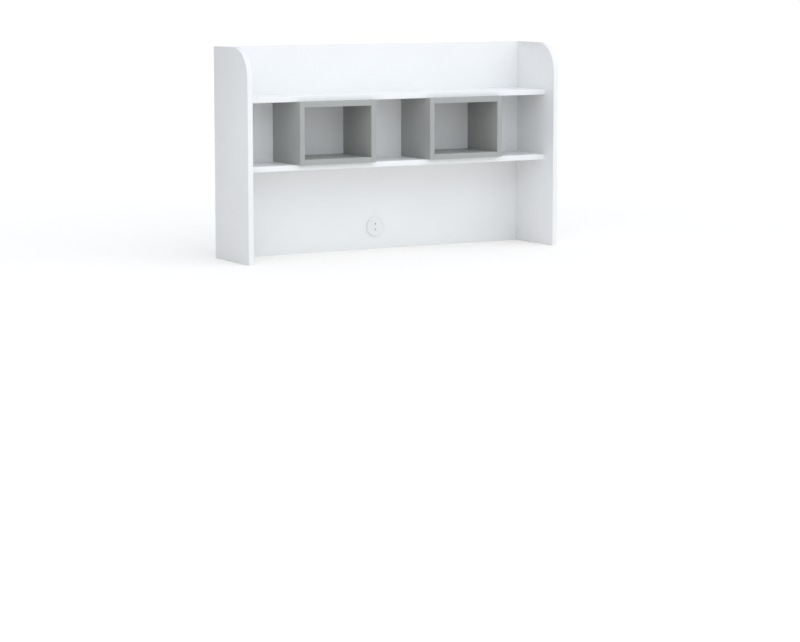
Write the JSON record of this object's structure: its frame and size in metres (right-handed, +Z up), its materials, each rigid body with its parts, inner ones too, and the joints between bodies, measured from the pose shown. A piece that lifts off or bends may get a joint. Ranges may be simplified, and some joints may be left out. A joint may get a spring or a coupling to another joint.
{
  "type": "desk hutch",
  "caption": "Hutch for a desk top: rounded side panels, full back panel, shelves, open grey cubbies between them and a round power outlet low in the back panel.",
  "frame": {"origin": "middle of the footprint, at the level of the desk top that the hutch stands on", "axes": "+X to the right as seen from the front, +Y towards the back, +Z up; the open front faces -Y"},
  "size_m": [1.2, 0.248, 0.704],
  "materials": {
    "white_board": "white melamine laminate on particle board, fine satin texture, matching edge strips",
    "grey_board": "light grey melamine laminate on particle board, satin",
    "zinc_fitting": "die-cast zinc, dull",
    "steel_fitting": "bright zinc-plated steel",
    "brass_contact": "plain pressed brass",
    "beech_dowel": "plain beech",
    "white_plastic": "white moulded plastic, semi-gloss",
    "grey_plastic": "grey moulded plastic",
    "black_rubber": "soft black rubber"
  },
  "bodies": {
    "hutch": {"left_side_panel": "white_board", "right_side_panel": "white_board", "back_panel": "white_board", "lower_shelf": "white_board", "upper_shelf": "white_board", "left_cubby_left_board": "grey_board", "left_cubby_right_board": "grey_board", "left_cubby_top_board": "grey_board", "left_cubby_bottom_board": "grey_board", "right_cubby_left_board": "grey_board", "right_cubby_right_board": "grey_board", "right_cubby_top_board": "grey_board", "right_cubby_bottom_board": "grey_board", "lower_shelf_left_front_cam_lock": "zinc_fitting", "lower_shelf_left_front_cam_bolt": "steel_fitting", "lower_shelf_left_rear_cam_lock": "zinc_fitting", "lower_shelf_left_rear_cam_bolt": "steel_fitting", "upper_shelf_left_front_cam_lock": "zinc_fitting", "upper_shelf_left_front_cam_bolt": "steel_fitting", "upper_shelf_left_rear_cam_lock": "zinc_fitting", "upper_shelf_left_rear_cam_bolt": "steel_fitting", "back_panel_left_low_cam_lock": "zinc_fitting", "back_panel_left_low_cam_bolt": "steel_fitting", "back_panel_left_high_cam_lock": "zinc_fitting", "back_panel_left_high_cam_bolt": "steel_fitting", "lower_shelf_right_front_cam_lock": "zinc_fitting", "lower_shelf_right_front_cam_bolt": "steel_fitting", "lower_shelf_right_rear_cam_lock": "zinc_fitting", "lower_shelf_right_rear_cam_bolt": "steel_fitting", "upper_shelf_right_front_cam_lock": "zinc_fitting", "upper_shelf_right_front_cam_bolt": "steel_fitting", "upper_shelf_right_rear_cam_lock": "zinc_fitting", "upper_shelf_right_rear_cam_bolt": "steel_fitting", "back_panel_right_low_cam_lock": "zinc_fitting", "back_panel_right_low_cam_bolt": "steel_fitting", "back_panel_right_high_cam_lock": "zinc_fitting", "back_panel_right_high_cam_bolt": "steel_fitting", "left_cubby_left_fixing_screw": "steel_fitting", "left_cubby_right_fixing_screw": "steel_fitting", "left_cubby_bottom_left_dowel": "beech_dowel", "left_cubby_bottom_right_dowel": "beech_dowel", "left_cubby_top_left_dowel": "beech_dowel", "left_cubby_top_right_dowel": "beech_dowel", "right_cubby_left_fixing_screw": "steel_fitting", "right_cubby_right_fixing_screw": "steel_fitting", "right_cubby_bottom_left_dowel": "beech_dowel", "right_cubby_bottom_right_dowel": "beech_dowel", "right_cubby_top_left_dowel": "beech_dowel", "right_cubby_top_right_dowel": "beech_dowel", "lower_shelf_back_screw": "steel_fitting", "upper_shelf_back_screw": "steel_fitting", "outlet_faceplate": "white_plastic", "outlet_shutter_spring": "steel_fitting", "outlet_body": "grey_plastic", "outlet_lower_contact": "brass_contact", "outlet_upper_contact": "brass_contact", "outlet_rear_cover": "white_plastic", "outlet_cord_grommet": "black_rubber"},
    "shutter": {"outlet_shutter": "grey_plastic"}
  },
  "joints": [
    {"name": "shutter_lift", "type": "slide", "parent": "hutch", "child": "shutter", "axis": [0, 0, 1], "range_m": [0, 0.006], "stiffness_N_per_m": 40, "springref_m": -0.01, "deforming": ["outlet_shutter_spring"]}
  ]
}
